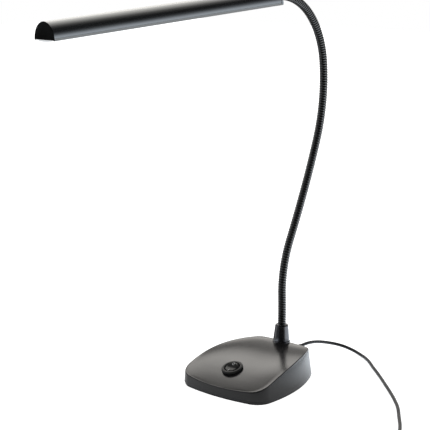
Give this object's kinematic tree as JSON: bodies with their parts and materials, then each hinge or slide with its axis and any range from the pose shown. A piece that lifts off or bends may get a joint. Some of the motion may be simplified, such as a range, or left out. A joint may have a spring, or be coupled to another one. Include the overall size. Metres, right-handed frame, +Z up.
{
  "type": "piano lamp",
  "caption": "Desk or piano lamp: wedge base with a round rocker switch, bendable ribbed gooseneck, long LED light bar, and a thin cord to a plug-in supply.",
  "frame": {"origin": "middle of the base, on the surface the lamp stands on", "axes": "+Z up, -Y towards the front, where the light bar points, +X to the lamp's right seen from behind it"},
  "size_m": [0.351, 0.4411, 0.4178],
  "materials": {
    "cover_black": "satin black, very fine texture",
    "cast_weight": "rough casting, dipped black",
    "zinc_steel": "bright zinc plating",
    "foam_pad": "matt closed-cell foam",
    "switch_black": "semi-gloss nylon",
    "tinned_brass": "tinned",
    "collar_black": "gloss black",
    "neck_black": "satin black over wound steel",
    "plated_steel": "bright plating",
    "bar_black": "gloss black lacquer on extruded aluminium",
    "cap_black": "satin black",
    "board_white": "white solder mask",
    "led_yellow": "clear over phosphor",
    "lens_milk": "milk-white diffuser",
    "wire_grey": "thin insulated wire",
    "cord_black": "soft black jacket",
    "supply_black": "fine matt texture",
    "board_green": "circuit board"
  },
  "bodies": {
    "base": {"base_cover": "cover_black", "base_weight": "cast_weight", "bottom_plate": "zinc_steel", "base_pad": "foam_pad", "plate_screws": "zinc_steel", "weight_screws": "zinc_steel", "switch_housing": "switch_black", "switch_terminals": "tinned_brass", "neck_collar": "collar_black", "neck_foot_ferrule": "plated_steel", "neck_washer": "plated_steel", "neck_nut": "plated_steel", "gooseneck_foot": "neck_black", "switch_leads": "wire_grey", "cord_relief": "cord_black", "power_cord": "cord_black", "cord_coil": "cord_black", "cord_tail": "cord_black", "cord_tie": "cord_black", "supply_case": "supply_black", "supply_lid": "supply_black", "supply_board": "board_green", "supply_pins": "plated_steel", "supply_relief": "cord_black"},
    "rocker": {"switch_rocker": "switch_black"},
    "neck_lower": {"gooseneck_lower": "neck_black"},
    "neck_middle": {"gooseneck_middle": "neck_black"},
    "neck_upper": {"gooseneck_upper": "neck_black"},
    "neck_arch": {"gooseneck_arch": "neck_black"},
    "light_bar": {"gooseneck_end": "neck_black", "neck_head_ferrule": "plated_steel", "head_nut": "plated_steel", "light_housing": "bar_black", "front_cap": "cap_black", "rear_cap": "cap_black", "led_board": "board_white", "leds": "led_yellow", "lens": "lens_milk", "board_screws": "plated_steel", "head_leads": "wire_grey"}
  },
  "joints": [
    {"name": "rocker_tilt", "type": "hinge", "parent": "base", "child": "rocker", "pos_m": [0, -0.03335, 0.0221], "axis": [1, 0, 0], "range_deg": [-20, 0]},
    {"name": "neck_foot_bend", "type": "hinge", "parent": "base", "child": "neck_lower", "pos_m": [0, 0.0508, 0.09466], "axis": [1, 0, 0], "range_deg": [-25, 25]},
    {"name": "neck_low_turn", "type": "hinge", "parent": "neck_lower", "child": "neck_middle", "pos_m": [0, 0.07038, 0.15909], "axis": [0, 0.8986, -0.4388], "range_deg": [-25, 25]},
    {"name": "neck_mid_bend", "type": "hinge", "parent": "neck_middle", "child": "neck_upper", "pos_m": [0, 0.09839, 0.22104], "axis": [1, 0, 0], "range_deg": [-25, 25]},
    {"name": "neck_high_turn", "type": "hinge", "parent": "neck_upper", "child": "neck_arch", "pos_m": [0, 0.11892, 0.28568], "axis": [0, 0.9883, -0.1526], "range_deg": [-25, 25]},
    {"name": "neck_top_bend", "type": "hinge", "parent": "neck_arch", "child": "light_bar", "pos_m": [0, 0.11558, 0.35301], "axis": [1, 0, 0], "range_deg": [-25, 25]}
  ]
}
